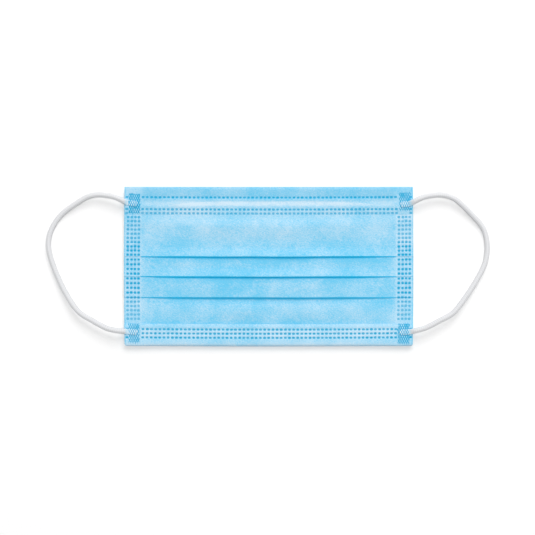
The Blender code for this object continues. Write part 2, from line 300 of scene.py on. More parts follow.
@dataclass(frozen=True)
class DotGrid:
    """The four columns of round weld dots in each side band."""

    columns: tuple[float, ...] = (-85.3, -83.0, -80.85, -78.65, 78.75, 81.05, 83.15, 85.3)
    # Each run of rows as its first drop, pitch and count.
    runs: tuple[tuple[float, float, int], ...] = ((18.2, 2.53, 10), (43.9, 2.86, 9), (69.4, 2.6, 5))
    lean: float = -0.5
    half_width: float = 0.82
    half_height: float = 0.7
    right_lean: float = 0.12
    seed: int = 11
    shift: float = 0.07
    sizes: tuple[float, float] = (0.93, 1.08)
    strengths: tuple[float, float] = (0.9, 1.0)
    edge: float = 0.25
    plain_strength: float = 0.82
    pleats: Band = Band(0.22, (30.0, 36.0), (64.0, 70.0))
    low_loss: float = 0.1
    low: tuple[float, float] = (67.0, 73.0)

    def rows(self) -> np.ndarray:
        """The drops of the rows, from runs of first drop, pitch and count."""
        return np.concatenate([first + pitch * np.arange(count) for first, pitch, count in self.runs])

    def press(self, x: np.ndarray, drop: np.ndarray) -> np.ndarray:
        """How hard each place is pressed: hardest where the pleats put five layers in the weld.

        Args:
            x: Places along the mask.
            drop: Places down the mask.

        Returns:
            0 between the dots, and about 1 on the hardest ones.
        """
        x, drop = np.broadcast_arrays(x, drop)
        columns, rows = np.array(self.columns), self.rows()
        leaned = x - self.lean * (drop / FORM.length - 0.5)
        column = np.abs(leaned[..., None] - columns).argmin(axis=-1)
        row = np.abs(drop[..., None] - rows).argmin(axis=-1)
        rng = np.random.default_rng(self.seed)
        shape = (rows.size, columns.size)
        shift = rng.uniform(-self.shift, self.shift, (2, *shape))
        size = rng.uniform(*self.sizes, shape)
        strength = rng.uniform(*self.strengths, shape)
        u = (leaned - columns[column] - shift[0][row, column]) / (self.half_width * size[row, column])
        v = (drop - rows[row] - shift[1][row, column]) / (self.half_height * size[row, column])
        layers = self.plain_strength + self.pleats.at(drop) - self.low_loss * ramp(drop, *self.low)
        layers = layers + self.right_lean * (drop / FORM.length - 0.5) * (x > 0.0)
        return oval(u, v, self.edge) * strength[row, column] * layers


@dataclass(frozen=True)
class Patch:
    """A corner weld: a pressed field with small raised diamonds in staggered rows."""

    left: float
    right: float
    top: float
    bottom: float
    seed: int
    depth: float = 0.96
    # A finer lattice wouldn't show at 0.6 mm a pixel, so this one may be coarser than the real one.
    pitch: float = 1.35
    slope: float = 0.55
    fade: float = 0.75
    fade_range: float = 0.5
    fade_size: float = 5.0
    fade_limits: tuple[float, float] = (0.1, 1.2)
    calming: float = 1.5
    wobble: float = 0.25
    wobble_size: float = 2.2
    edge: float = 0.5
    rise: float = 1.8
    least: float = -0.15

    def press(self, x: np.ndarray, drop: np.ndarray, spread: float = 0.0) -> np.ndarray:
        """How hard each place is pressed.

        The diamonds are the peaks of cos(2 pi x / pitch) cos(pi drop / pitch), and broad waves
        fade some of them out. The more they spread, the more even they are.

        Args:
            x: Places along the mask.
            drop: Places down the mask.
            spread: How much wider the diamonds are than on thin cloth.

        Returns:
            0 outside the patch and on whole diamonds, and up to the depth between them.
        """
        u = np.cos(2.0 * math.pi * (x - self.left) / self.pitch)
        v = np.cos(math.pi * (drop - self.top) / self.pitch)
        raised = ramp(u * v, -spread, self.slope - spread)
        fade_range = self.fade_range - self.calming * spread
        fade = self.fade + spread + fade_range * waves(x, drop, self.fade_size, self.seed)
        wobble = self.wobble * waves(x, drop, self.wobble_size, self.seed + 1)
        inside = between(x + wobble, self.left, self.right, self.edge)
        inside = inside * between(drop + wobble, self.top, self.bottom, self.edge)
        pressed = self.depth - self.rise * raised * np.clip(fade, *self.fade_limits)
        return inside * np.maximum(pressed, self.least)


PATCHES = {
    "top": (Patch(-84.9, -78.0, 4.1, 16.0, 21, 1.0), Patch(79.28, 86.0, 3.3, 14.3, 23, 0.88)),
    "bottom": (Patch(-85.0, -78.3, 81.9, 94.2, 25, 0.82), Patch(78.34, 85.4, 82.4, 94.7, 27)),
}


# Meshes


@dataclass
class Line:
    """A cloth's middle line in every section along the mask, as arrays of sections by rows."""

    x: np.ndarray
    drop: np.ndarray
    height: np.ndarray
    wall: np.ndarray

    def faces(self) -> tuple[np.ndarray, np.ndarray, np.ndarray, np.ndarray]:
        """The drops and heights of the two faces, half a wall to each side of the line.

        The normal at a row is at right angles to the mean of the unit steps before and after it.
        """
        step_drop, step_height = np.diff(self.drop, axis=1), np.diff(self.height, axis=1)
        length = np.maximum(np.hypot(step_drop, step_height), 1e-9)
        unit_drop, unit_height = step_drop / length, step_height / length
        along_drop = np.concatenate(
            [unit_drop[:, :1], unit_drop[:, 1:] + unit_drop[:, :-1], unit_drop[:, -1:]], 1
        )
        along_height = np.concatenate(
            [unit_height[:, :1], unit_height[:, 1:] + unit_height[:, :-1], unit_height[:, -1:]], 1
        )
        size = np.maximum(np.hypot(along_drop, along_height), 1e-9)
        out_drop = -along_height / size * self.wall / 2
        out_height = along_drop / size * self.wall / 2
        return (
            self.drop + out_drop,
            self.height + out_height,
            self.drop - out_drop,
            self.height - out_height,
        )

    def needed_rows(self, slack: float) -> np.ndarray:
        """The rows that the plain inner face needs, so that it nowhere cuts the outer one.

        Args:
            slack: How far the face may pass from the rows that it leaves out.

        Returns:
            Row numbers, the same in all sections. Each chord goes as far as the slack allows.
        """
        _, _, drop, height = self.faces()
        last = drop.shape[1] - 1
        kept = [0]
        while kept[-1] < last:
            start, end = kept[-1], kept[-1] + 1
            while end < last and chord_gap(drop[:, start : end + 2], height[:, start : end + 2]) < slack:
                end += 1
            kept.append(end)
        return np.array(kept)


def chord_gap(drop: np.ndarray, height: np.ndarray) -> float:
    """How far points lie at most from the chord between the first and the last in their section."""
    along_drop, along_height = drop[:, -1:] - drop[:, :1], height[:, -1:] - height[:, :1]
    cross = (drop - drop[:, :1]) * along_height - (height - height[:, :1]) * along_drop
    return float(np.max(np.abs(cross) / np.maximum(np.hypot(along_drop, along_height), 1e-9)))


def shell(name: str, loops: np.ndarray, marks: dict[str, np.ndarray]) -> bpy.types.Object:
    """A closed object skinned round loops of points, with both ends capped.

    Args:
        name: The object's name.
        loops: Points in metres, sections by rows by 3. Each section is one closed loop that
            runs anticlockwise seen from +X.
        marks: Values for each point, sections by rows, kept as attributes of the mesh.

    Returns:
        The new object, smooth shaded.
    """
    sections, rows = loops.shape[:2]
    index = np.arange(sections * rows).reshape(sections, rows)
    after = np.roll(index, -1, axis=1)
    quads = np.stack([index[:-1], after[:-1], after[1:], index[1:]], axis=-1).reshape(-1, 4)
    faces = quads.tolist()
    for section, turn in ((0, -1), (sections - 1, 1)):
        outline = [Vector((p[1], p[2], 0.0)) for p in loops[section].tolist()]
        for a, b, c in tessellate_polygon([outline]):
            area = (outline[b] - outline[a]).cross(outline[c] - outline[a]).z
            corners = (a, b, c) if area * turn > 0 else (a, c, b)
            faces.append([int(index[section, corner]) for corner in corners])
    mesh = bpy.data.meshes.new(name)
    mesh.from_pydata(loops.reshape(-1, 3), [], faces)
    return finished(name, mesh, marks)


def finished(name: str, mesh: bpy.types.Mesh, marks: dict[str, np.ndarray]) -> bpy.types.Object:
    """Puts the marks into a mesh as attributes and makes its object.

    Args:
        name: The object's name.
        mesh: A mesh whose points are in the marks' order.
        marks: Values for each point.

    Returns:
        The object, linked to the scene.
    """
    for mark, values in marks.items():
        layer = mesh.attributes.new(mark, "FLOAT", "POINT")
        layer.data.foreach_set("value", np.ascontiguousarray(values, dtype=np.float32).ravel())
    mesh.validate()
    mesh.shade_smooth()
    made = bpy.data.objects.new(name, mesh)
    bpy.context.scene.collection.objects.link(made)
    return made


def wall_shell(name: str, line: Line, keep: np.ndarray, dent: np.ndarray, marks: dict) -> bpy.types.Object:
    """A closed cloth wall round a middle line.

    Args:
        name: The object's name.
        line: The wall's middle line.
        keep: The rows that the plain inner face needs.
        dent: How far the outer face is pressed in at each point.
        marks: Attribute values of the outer face's points. The inner face has 0 for them all.

    Returns:
        The new object. Its mark "inside" is 1 on the inner face.
    """
    outer_drop, outer_height, inner_drop, inner_height = line.faces()
    outer = FORM.place(line.x, outer_drop, outer_height - dent)
    inner = FORM.place(line.x, inner_drop, inner_height)[:, keep][:, ::-1]
    loops = np.concatenate([outer, inner], axis=1)
    blank = np.zeros(inner.shape[:2])
    shape = outer.shape[:2]
    full = {
        mark: np.concatenate([np.broadcast_to(values, shape), blank], axis=1)
        for mark, values in marks.items()
    }
    full["inside"] = np.concatenate([np.zeros(shape), blank + 1.0], axis=1)
    return shell(name, loops, full)


def half_turn(start_drop: np.ndarray, top: np.ndarray, bottom: np.ndarray, bulge: int, steps: int) -> tuple:
    """Rows inside a half circle from one height to another.

    Args:
        start_drop: The drop of both ends, one for each section, as a column.
        top: The height it starts at.
        bottom: The height it ends at.
        bulge: 1 where it bulges to larger drops and -1 to smaller ones.
        steps: How many steps the turn has.

    Returns:
        The rows' drops and heights.
    """
    angles = math.pi * np.arange(1, steps) / steps
    radius = np.abs(top - bottom) / 2
    drop = start_drop + bulge * radius * np.sin(angles)
    height = (top + bottom) / 2 + (top - bottom) / 2 * np.cos(angles)
    return drop, height


# Finishes


def linear(colour: str) -> tuple[float, float, float, float]:
    """A linear RGBA colour from an sRGB hex value such as 7ec8f0."""
    values = [int(colour[i : i + 2], 16) / 255 for i in (0, 2, 4)]
    shares = [v / 12.92 if v <= 0.04045 else ((v + 0.055) / 1.055) ** 2.4 for v in values]
    return (*shares, 1.0)


def add_node(tree: bpy.types.NodeTree, kind: str, settings: dict, inputs: dict) -> bpy.types.Node:
    """Adds a node to a material.

    Args:
        tree: The material's node tree.
        kind: The node's type.
        settings: Its properties.
        inputs: A value or another node's output for each input, by name or number.

    Returns:
        The node.
    """
    node = tree.nodes.new(kind)
    for name, value in settings.items():
        setattr(node, name, value)
    for name, value in inputs.items():
        if isinstance(value, bpy.types.NodeSocket):
            tree.links.new(value, node.inputs[name])
        else:
            node.inputs[name].default_value = value
    return node


def empty_material(name: str) -> tuple[bpy.types.Material, bpy.types.Node]:
    """A new material and its Principled shader."""
    made = bpy.data.materials.new(name)
    made.use_nodes = True
    return made, made.node_tree.nodes["Principled BSDF"]


def mark_outputs(tree: bpy.types.NodeTree, names: tuple[str, ...]) -> dict[str, bpy.types.NodeSocket]:
    """The values of the marks that the pieces' points carry, by name."""
    kind = "ShaderNodeAttribute"
    return {name: add_node(tree, kind, {"attribute_name": name}, {}).outputs["Fac"] for name in names}


def add_layers(tree: bpy.types.NodeTree, lowest: str, layers: tuple) -> bpy.types.NodeSocket:
    """Lays colours over one another.

    Args:
        tree: The material's node tree.
        lowest: The lowest colour, as sRGB hex.
        layers: The hex colours over it, each with the output that says how much of it shows.

    Returns:
        The output with the colour that results.
    """
    colour = linear(lowest)
    for over, amount in layers:
        inputs = {0: amount, 6: colour, 7: linear(over)}
        colour = add_node(tree, "ShaderNodeMix", {"data_type": "RGBA"}, inputs).outputs[2]
    return colour


def add_relief(
    tree: bpy.types.NodeTree, place: bpy.types.NodeSocket, scale: float, strength: float, height: float
) -> None:
    """Gives a material's shader a fine relief that follows a noise.

    Args:
        tree: The material's node tree.
        place: The coordinates that the noise is read at.
        scale: How many of its features there are in one unit of the coordinates.
        strength: The relief's strength.
        height: Its height in millimetres.
    """
    inputs = {"Vector": place, "Scale": scale, "Detail": 2.0}
    noise = add_node(tree, "ShaderNodeTexNoise", {}, inputs)
    inputs = {"Height": noise.outputs["Fac"], "Strength": strength, "Distance": height * MM}
    bump = add_node(tree, "ShaderNodeBump", {}, inputs)
    tree.links.new(bump.outputs["Normal"], tree.nodes["Principled BSDF"].inputs["Normal"])


@dataclass(frozen=True)
class SpunbondCloth:
    """Spunbond polypropylene, laid in a web and bonded by hot rollers.

    The web is thicker in some places than in others, which gives cloudy blue, and its fibres and
    bond points give a fine slanting grain. A pressed weld melts to a clear film and looks deeper.
    """

    name: str = "spunbond_polypropylene"
    deep: str = "66c1e5"
    pale: str = "c8deec"
    # Painted shade: the grey of the nose hem's band along its folded edge.
    shade: str = "5fa6c6"
    weld: str = "009ecb"
    # Painted shade: the saturated deep blue of the shadowed line under each fold.
    crease_shade: str = "10bbe9"
    lining: str = "eef2f4"
    middle: float = 0.425
    cloud_size: float = 20.0
    cloud_share: float = 0.95
    mottle_size: float = 4.5
    mottle_share: float = 0.33
    # The fibres are about 0.02 mm thick and too fine to show, so the grain and the flecks are
    # drawn far coarser and stand for bundles of them.
    grain_width: float = 1.2
    grain_length: float = 3.6
    grain_angle: float = -45.0
    grain_share: float = 0.26
    fleck_width: float = 0.5
    fleck_length: float = 0.95
    fleck_angle: float = -25.0
    fleck_share: float = 1.4
    fibre_size: float = 0.5
    fibre_strength: float = 0.6
    fibre_relief: float = 0.05
    roughness: float = 0.82
    specular: float = 0.25
    sheen: float = 0.08

    def material(self) -> bpy.types.Material:
        """Mixes the web's unevenness with the marks that the pieces carry.

        Returns:
            The material. Its tone is the piece's own tone plus four noises, and runs from deep
            to pale; painted shade, welds, the painted shade lines under the folds and the white lining
            lie over it.
        """
        made, shader = empty_material(self.name)
        tree = made.node_tree
        place = add_node(tree, "ShaderNodeTexCoord", {}, {}).outputs["Object"]
        marks = mark_outputs(tree, ("tone", "shade", "press", "crease_shade", "inside"))
        patterns = (
            (self.cloud_size, self.cloud_size, 0.0, self.cloud_share),
            (self.mottle_size, self.mottle_size, 0.0, self.mottle_share),
            (self.grain_length, self.grain_width, self.grain_angle, self.grain_share),
            (self.fleck_length, self.fleck_width, self.fleck_angle, self.fleck_share),
        )
        tone = marks["tone"]
        for length, width, angle, share in patterns:
            size = (length * MM, width * MM, width * MM)
            inputs = {"Vector": place, "Rotation": (0.0, 0.0, math.radians(angle)), "Scale": size}
            turned = add_node(tree, "ShaderNodeMapping", {"vector_type": "TEXTURE"}, inputs)
            inputs = {"Vector": turned.outputs["Vector"], "Scale": 1.0, "Detail": 3.0}
            noise = add_node(tree, "ShaderNodeTexNoise", {}, inputs)
            inputs = {0: noise.outputs["Fac"], 1: share, 2: tone}
            tone = add_node(tree, "ShaderNodeMath", {"operation": "MULTIPLY_ADD"}, inputs).outputs[0]
        # A noise is 0.5 on average, so this sum makes the mean tone the middle one.
        level = self.middle - 0.5 * sum(pattern[3] for pattern in patterns)
        settings = {"operation": "ADD", "use_clamp": True}
        tone = add_node(tree, "ShaderNodeMath", settings, {0: tone, 1: level}).outputs[0]
        # The grey shade and the blue of the fold lines are painted shade; the welds and the lining are the
        # web's own colours.
        layers = (
            (self.pale, tone),
            (self.shade, marks["shade"]),
            (self.weld, marks["press"]),
            (self.crease_shade, marks["crease_shade"]),
            (self.lining, marks["inside"]),
        )
        tree.links.new(add_layers(tree, self.deep, layers), shader.inputs["Base Color"])
        add_relief(tree, place, 1 / (self.fibre_size * MM), self.fibre_strength, self.fibre_relief)
        shader.inputs["Roughness"].default_value = self.roughness
        shader.inputs["Specular IOR Level"].default_value = self.specular
        shader.inputs["Sheen Weight"].default_value = self.sheen
        return made


@dataclass(frozen=True)
class KnittedElastic:
    """Elastic knitted in the round from crimped nylon over spandex.

    The loose yarn gives a soft greyish white with fine stitches. Where it is welded to the mask
    it is fused with the blue web, and its pressed points turn blue.
    """

    name: str = "knitted_nylon_elastic"
    yarn: str = "e2e3e5"
    # Painted shade in the hollows between the stitches.
    valley: str = "cbccce"
    fused: str = "b9ddee"
    weld: str = "1ca4d1"
    fuzz_size: float = 0.35
    fuzz_strength: float = 0.5
    fuzz_relief: float = 0.05
    roughness: float = 0.85
    specular: float = 0.3
    sheen: float = 0.2

    def material(self) -> bpy.types.Material:
        """Mixes the yarn's colour by the marks stitch, which is painted shade in the knit's hollows, fused
        and press.

        Returns:
            The material.
        """
        made, shader = empty_material(self.name)
        tree = made.node_tree
        place = add_node(tree, "ShaderNodeTexCoord", {}, {}).outputs["Object"]
        marks = mark_outputs(tree, ("stitch", "fused", "press"))
        layers = ((self.valley, marks["stitch"]), (self.fused, marks["fused"]), (self.weld, marks["press"]))
        tree.links.new(add_layers(tree, self.yarn, layers), shader.inputs["Base Color"])
        add_relief(tree, place, 1 / (self.fuzz_size * MM), self.fuzz_strength, self.fuzz_relief)
        shader.inputs["Roughness"].default_value = self.roughness
        shader.inputs["Specular IOR Level"].default_value = self.specular
        shader.inputs["Sheen Weight"].default_value = self.sheen
        return made


@dataclass(frozen=True)
class CoatedWire:
    """Steel wire in extruded white polyethylene: smooth, with faint lines along it."""

    name: str = "white_polyethylene_coated_wire"
    colour: str = "eef0f1"
    line_length: float = 40.0
    line_width: float = 0.3
    line_strength: float = 0.4
    line_relief: float = 0.03
    roughness: float = 0.42

    def material(self) -> bpy.types.Material:
        """A white plastic with a long fine noise for its extrusion lines.

        Returns:
            The material.
        """
        made, shader = empty_material(self.name)
        tree = made.node_tree
        place = add_node(tree, "ShaderNodeTexCoord", {}, {}).outputs["Object"]
        size = (self.line_length * MM, self.line_width * MM, self.line_width * MM)
        inputs = {"Vector": place, "Scale": size}
        along = add_node(tree, "ShaderNodeMapping", {"vector_type": "TEXTURE"}, inputs)
        add_relief(tree, along.outputs["Vector"], 1.0, self.line_strength, self.line_relief)
        shader.inputs["Base Color"].default_value = linear(self.colour)
        shader.inputs["Roughness"].default_value = self.roughness
        return made


# The mask's pieces


def dress(piece: bpy.types.Object, node: str, finish: bpy.types.Material) -> bpy.types.Object:
    """Gives a piece its finish and its place in the frame.

    Args:
        piece: The new piece.
        node: The CAD node that it stands for.
        finish: Its material.

    Returns:
        The piece.
    """
    piece.data.materials.append(finish)
    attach(piece, BODY)
    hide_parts(node)
    log.info("%s: %d faces", piece.name, len(piece.data.polygons))
    return piece


@dataclass
class PleatedCloth:
    """The three-ply cloth with its three knife pleats, pressed flat in the side bands."""

    name: str = "pleated_cloth_dressed"
    folds: tuple[float, ...] = (42.1, 54.25, 66.85)
    # How strong the painted shade line under each fold is between the welds and in them.
    middle_lines: tuple[float, ...] = (1.0, 1.0, 0.88)
    side_lines: tuple[float, ...] = (0.0, 0.3, 0.3)
    depth: float = 11.76
    wall_side: float = 0.13
    wall_middle: float = 0.46
    step_side: float = 0.15
    step_middle: float = 0.86
    base_side: float = 2.2
    base_middle: float = 1.3
    under_hem_side: float = 2.5
    under_hem_middle: float = 1.85
    top_hem: float = 16.6
    bottom_hem: float = 13.6
    cheek_puff: float = 0.8
    # How far each panel's swell reaches past the panel's own start and end.
    upper_swell: tuple[float, float] = (0.0, 3.0)
    lower_swell: tuple[float, float] = (-2.0, 0.5)
    climb_share: float = 0.55
    climb_end: float = 1.0
    tuck_slope: float = 2.0
    # These two are read at the distance past the top hem's edge, and the third at the drop.
    hem_lip: Band = Band(0.3, (-0.02, 0.1), (4.0, 10.0))
    hem_rise: Band = Band(1.1, (-4.4, -0.4), (4.0, 13.0))
    bumpy: Band = Band(1.0, (17.0, 24.0), (74.0, 81.0))
    bumps: tuple[tuple[float, float, int], ...] = ((0.16, 30.0, 41), (0.05, 11.0, 42))
    wander: float = 0.07
    wander_length: float = 46.0
    wander_seed: int = 31
    turn_steps: int = 8
    tuck_spacing: float = 2.2
    tuck_rows: int = 6
    cloth_edge: float = 1.6
    fold_gap: float = 0.45
    blend: float = 4.0
    inner_slack: float = 0.015
    dent: float = 0.08
    dots: DotGrid = field(default_factory=DotGrid)
    dotted: tuple[float, float, float] = (16.8, 82.2, 0.4)
    # Where the sections and the rows lie.
    band_start: float = 77.0
    band_spacing: float = 0.2
    last_sections: tuple[float, ...] = (0.3, 0.15, 0.0)
    slope_start: float = 73.0
    slope_spacing: float = 0.5
    middle_spacing: float = 2.1
    least_gap: float = 0.1
    dot_rows: tuple[float, ...] = (0.18, 0.36, 0.52, 0.72)
    rows_below: tuple[float, ...] = (-0.3, 0.0, 0.15, 0.3, 0.5, 0.7, 0.98, 1.1, 1.4, 1.7, 2.1)
    rows_above: tuple[float, ...] = (3.0, 2.3, 1.8, 1.4, 1.1, 0.85)
    row_spacing: float = 1.3
    seen_margin: float = 0.4
    # How pale the web looks, for each number of layers, and in the side bands, with painted shade below
    # each fold and above the chin hem.
    layer_tones: tuple[Band, ...] = (
        Band(-0.19, (27.0, 35.0), (41.9, 42.4)),
        Band(-0.22, (41.9, 42.5), (66.7, 67.3)),
        Band(-0.10, (66.7, 67.3), (83.7, 84.3)),
    )
    # Painted shade where the lower panel dips to the chin hem's edge.
    chin_painted_shade: float = -0.15
    chin_painted_shade_place: tuple[float, float] = (82.6, 2.6)
    # Painted shade on each sheet just below the fold over it.
    fold_tone: float = -0.14
    fold_tone_reach: tuple[float, float, float] = (0.6, 3.4, 2.0)
    middle_end: tuple[float, float] = (71.0, 78.5)
    weld_rim: Band = Band(0.12, (76.5, 77.3), (77.6, 78.4))
    side_tone: float = 0.08
    side_start: tuple[float, float] = (76.0, 79.0)
    right_tone: float = 0.2
    right_end: tuple[float, float] = (30.0, 46.0)
    low_side_tone: float = -0.05
    low_side_start: tuple[float, float] = (77.0, 79.0)
    low_side_top: tuple[float, float] = (68.0, 76.0)
    # The painted shade line's widths. A pair is the width at the welds and what the middle adds to it.
    crease_taper: float = 26.0
    crease_above: tuple[float, float] = (0.55, 0.2)
    crease_below: float = 0.25
    crease_edge: float = 0.4
    crease_fade: tuple[float, float] = (0.5, 0.9)

    def sections(self) -> np.ndarray:
        """Places of the sections along the mask: fine round the dots, and wider in the middle."""
        close = FORM.half - np.array(self.last_sections)
        band = np.concatenate([spaced(self.band_start, close[0], self.band_spacing), close[1:]])
        slope = spaced(self.slope_start, self.band_start, self.slope_spacing)
        middle = spaced(-self.slope_start, self.slope_start, self.middle_spacing)
        return merged([-band, -slope, middle, slope, band], self.least_gap)[:, None]

    def rows_down(self, start: float, seen: float, fold: float, end: float) -> np.ndarray:
        """Nominal drops of one sheet's rows.

        Args:
            start: Where the sheet starts, under the one above.
            seen: Where it comes into sight.
            fold: Where its own fold is.
            end: Where it ends.

        Returns:
            Rows that are close near the dots, below the fold above and above its own fold.
        """
        dots = (self.dots.rows()[:, None] + mirrored(self.dot_rows)).ravel()
        below = seen + np.array(self.rows_below)
        above = fold - np.array(self.rows_above)
        close = np.concatenate([dots, below, above, spaced(seen, end, self.row_spacing)])
        first = seen - self.seen_margin
        close = close[(close > first) & (close < end - self.least_gap)]
        hidden = spaced(start, max(first, start + self.least_gap), self.tuck_spacing)
        return merged([hidden, close, np.array([end])], self.least_gap)

    def fold_line(self, index: int, x: np.ndarray) -> np.ndarray:
        """The drop of one fold along the mask, a hair uneven as a folded web is."""
        wander = self.wander * waves(x, np.zeros(1), self.wander_length, self.wander_seed + index)
        return self.folds[index] + wander * FORM.open(x)

    def step(self, puff: np.ndarray) -> np.ndarray:
        """The distance between the middles of two layers."""
        return self.step_side + (self.step_middle - self.step_side) * puff

    def climb(self, drop: np.ndarray, index: int) -> np.ndarray:
        """How far the sheet below a fold has climbed over the tuck of the next pleat down."""
        if not 0 <= index < len(self.folds) - 1:
            return np.zeros_like(drop)
        start = self.folds[index] - self.climb_share * self.depth
        return ramp(drop, start, self.folds[index + 1] - self.depth + self.climb_end)

    def sheet_height(self, index: int, x: np.ndarray, drop: np.ndarray) -> np.ndarray:
        """The height of the middle of one visible sheet.

        A sheet lies one rise, two layers, higher where it has climbed over the next tuck, and
        another rise where it lies over the pleat below itself.

        Args:
            index: 0 for the sheet at the nose edge and one more below each fold.
            x: Places along the mask, as a column.
            drop: Drops.

        Returns:
            The heights.
        """
        puff = FORM.puff(x)
        base = self.base_side + (self.base_middle - self.base_side) * puff
        under_hem = self.under_hem_side + (self.under_hem_middle - self.under_hem_side) * puff
        rise = 2.0 * self.step(puff)
        height = base + rise * (self.climb(drop, index - 1) + self.climb(drop, index))
        if index == 0:
            start, end = self.top_hem, self.folds[0] - self.depth
            on_tuck = ramp(drop, start + self.tuck_slope, end)
            height = height + rise * on_tuck + (under_hem - base) * (1.0 - on_tuck)
            height = height + self.cheek_puff * puff * self.swell(drop, start, end, self.upper_swell)
            past_hem = drop - start
            height = height + self.hem_lip.at(past_hem) + puff * self.hem_rise.at(past_hem)
        if index == len(self.folds):
            start, end = self.folds[-1], FORM.length - self.bottom_hem
            height = height + (under_hem - base) * ramp(drop, start, end)
            height = height + self.cheek_puff * puff * self.swell(drop, start, end, self.lower_swell)
        return height + self.bumpy.at(drop) * puff * unevenness(x, drop, self.bumps)

    @staticmethod
    def swell(drop: np.ndarray, start: float, end: float, past: tuple[float, float]) -> np.ndarray:
        """A soft swell of a panel, as the square of a half sine.

        Args:
            drop: Drops.
            start: Where the panel starts.
            end: Where it ends.
            past: How far the swell's start and end lie from the panel's.

        Returns:
            0 at both of its ends, 1 half-way between them, and flat at all three.
        """
        start, end = start + past[0], end + past[1]
        return np.sin(math.pi * np.clip((drop - start) / (end - start), 0.0, 1.0)) ** 2

    def line(self, x: np.ndarray) -> tuple[Line, np.ndarray]:
        """The cloth's middle line from the nose edge down, through each pleat.

        Args:
            x: The sections' places, as a column.

        Returns:
            The line, and for each row 1 where it can be seen from above.
        """
        puff = FORM.puff(x)
        step = self.step(puff)
        wall = self.wall_side + (self.wall_middle - self.wall_side) * puff
        reach = (step + wall) / 2
        parts: list[tuple[np.ndarray, np.ndarray, bool]] = []
        nominal, start, seen = self.cloth_edge, np.full_like(x, self.cloth_edge), self.top_hem - 1.0
        for index, fold in enumerate(self.folds):
            fold_at = self.fold_line(index, x)
            front, back = fold_at - reach, fold_at - self.depth + reach
            end = fold - self.fold_gap
            rows = self.rows_down(nominal, seen, fold, end)
            drop = rows + (start - nominal) * (1.0 - ramp(rows, nominal, nominal + self.blend))
            drop = drop + (front - end) * ramp(rows, fold - self.blend, end)
            parts.append((drop, self.sheet_height(index, x, drop), True))
            lower = self.sheet_height(index + 1, x, front)
            parts.append((*half_turn(front, lower + 2 * step, lower + step, 1, self.turn_steps), True))
            shares = np.linspace(0.0, 1.0, self.tuck_rows)
            drop = front + (back - front) * shares
            parts.append((drop, self.sheet_height(index + 1, x, drop) + step, False))
            lower = self.sheet_height(index + 1, x, back)
            parts.append((*half_turn(back, lower + step, lower, -1, self.turn_steps), False))
            nominal, start, seen = fold - self.depth + self.fold_gap, back, fold
        last_seen, end = FORM.length - self.bottom_hem, FORM.length - self.cloth_edge
        rows = self.rows_down(nominal, seen, last_seen, end)
        drop = rows + (start - nominal) * (1.0 - ramp(rows, nominal, nominal + self.blend))
        parts.append((drop, self.sheet_height(len(self.folds), x, drop), True))
        drops = np.concatenate([part[0] for part in parts], axis=1)
        heights = np.concatenate([part[1] for part in parts], axis=1)
        seen_rows = np.concatenate([np.full(part[0].shape[1], part[2]) for part in parts])
        return Line(x, drops, heights, np.broadcast_to(wall, drops.shape)), seen_rows

    def tone(self, x: np.ndarray, drop: np.ndarray) -> np.ndarray:
        """How pale the web looks: deeper over more layers, with painted shade below each fold and above the
        chin hem, and paler by the weld.

        Args:
            x: Places along the mask, as a column.
            drop: Drops.

        Returns:
            What each point adds to the web's own tone, which runs from 0, deep, to 1, pale.
        """
        tone = sum(band.at(drop) for band in self.layer_tones)
        # Painted shade just above the chin hem's edge and, in the loop below, just below each fold.
        tone = tone + self.chin_painted_shade * bell(drop, *self.chin_painted_shade_place)
        near, far, edge = self.fold_tone_reach
        for index, fold in enumerate(self.folds):
            tone = tone + self.fold_tone * between(drop, self.fold_line(index, x) + near, fold + far, edge)
        side = np.abs(x)
        tone = tone * (1.0 - ramp(side, *self.middle_end))
        tone = tone + self.weld_rim.at(side) - FORM.cut_tone(x)
        tone = tone + self.side_tone * ramp(side, *self.side_start)
        tone = tone + self.right_tone * ramp(x, *self.side_start) * (1.0 - ramp(drop, *self.right_end))
        low = ramp(side, *self.low_side_start) * ramp(drop, *self.low_side_top)
        return tone + self.low_side_tone * low

    def crease_shade(self, x: np.ndarray, drop: np.ndarray) -> np.ndarray:
        """The painted shade line under each fold, strong between the side welds and faint in them.

        Args:
            x: Places along the mask, as a column.
            drop: Drops.

        Returns:
            0 beside the lines, and up to 1 on them. They widen away from the welds.
        """
        total = np.zeros(np.broadcast(x, drop).shape)
        wide = ramp(FORM.weld_start - np.abs(x), 0.0, self.crease_taper)
        above = self.crease_above[0] + self.crease_above[1] * wide
        fade = self.crease_fade[0] + self.crease_fade[1] * wide
        for index, faint in enumerate(self.side_lines):
            fold = self.fold_line(index, x)
            strength = FORM.open(x) * (self.middle_lines[index] - faint) + faint
            start, end = fold - above, fold + self.crease_below * wide
            line = ramp(drop, start, start + self.crease_edge) * (1.0 - ramp(drop, end, end + fade))
            total = np.maximum(total, line * strength)
        return total

    def build(self, finish: bpy.types.Material) -> bpy.types.Object:
        """Makes the cloth.

        Args:
            finish: Its material.

        Returns:
            The piece.
        """
        x = self.sections()
        line, seen = self.line(x)
        keep = line.needed_rows(self.inner_slack)
        press = self.dots.press(x, line.drop) * seen * between(line.drop, *self.dotted)
        marks = {
            "press": press,
            "tone": self.tone(x, line.drop),
            "crease_shade": self.crease_shade(x, line.drop) * seen,
        }
        piece = wall_shell(self.name, line, keep, press * self.dent, marks)
        return dress(piece, "pleated_cloth", finish)


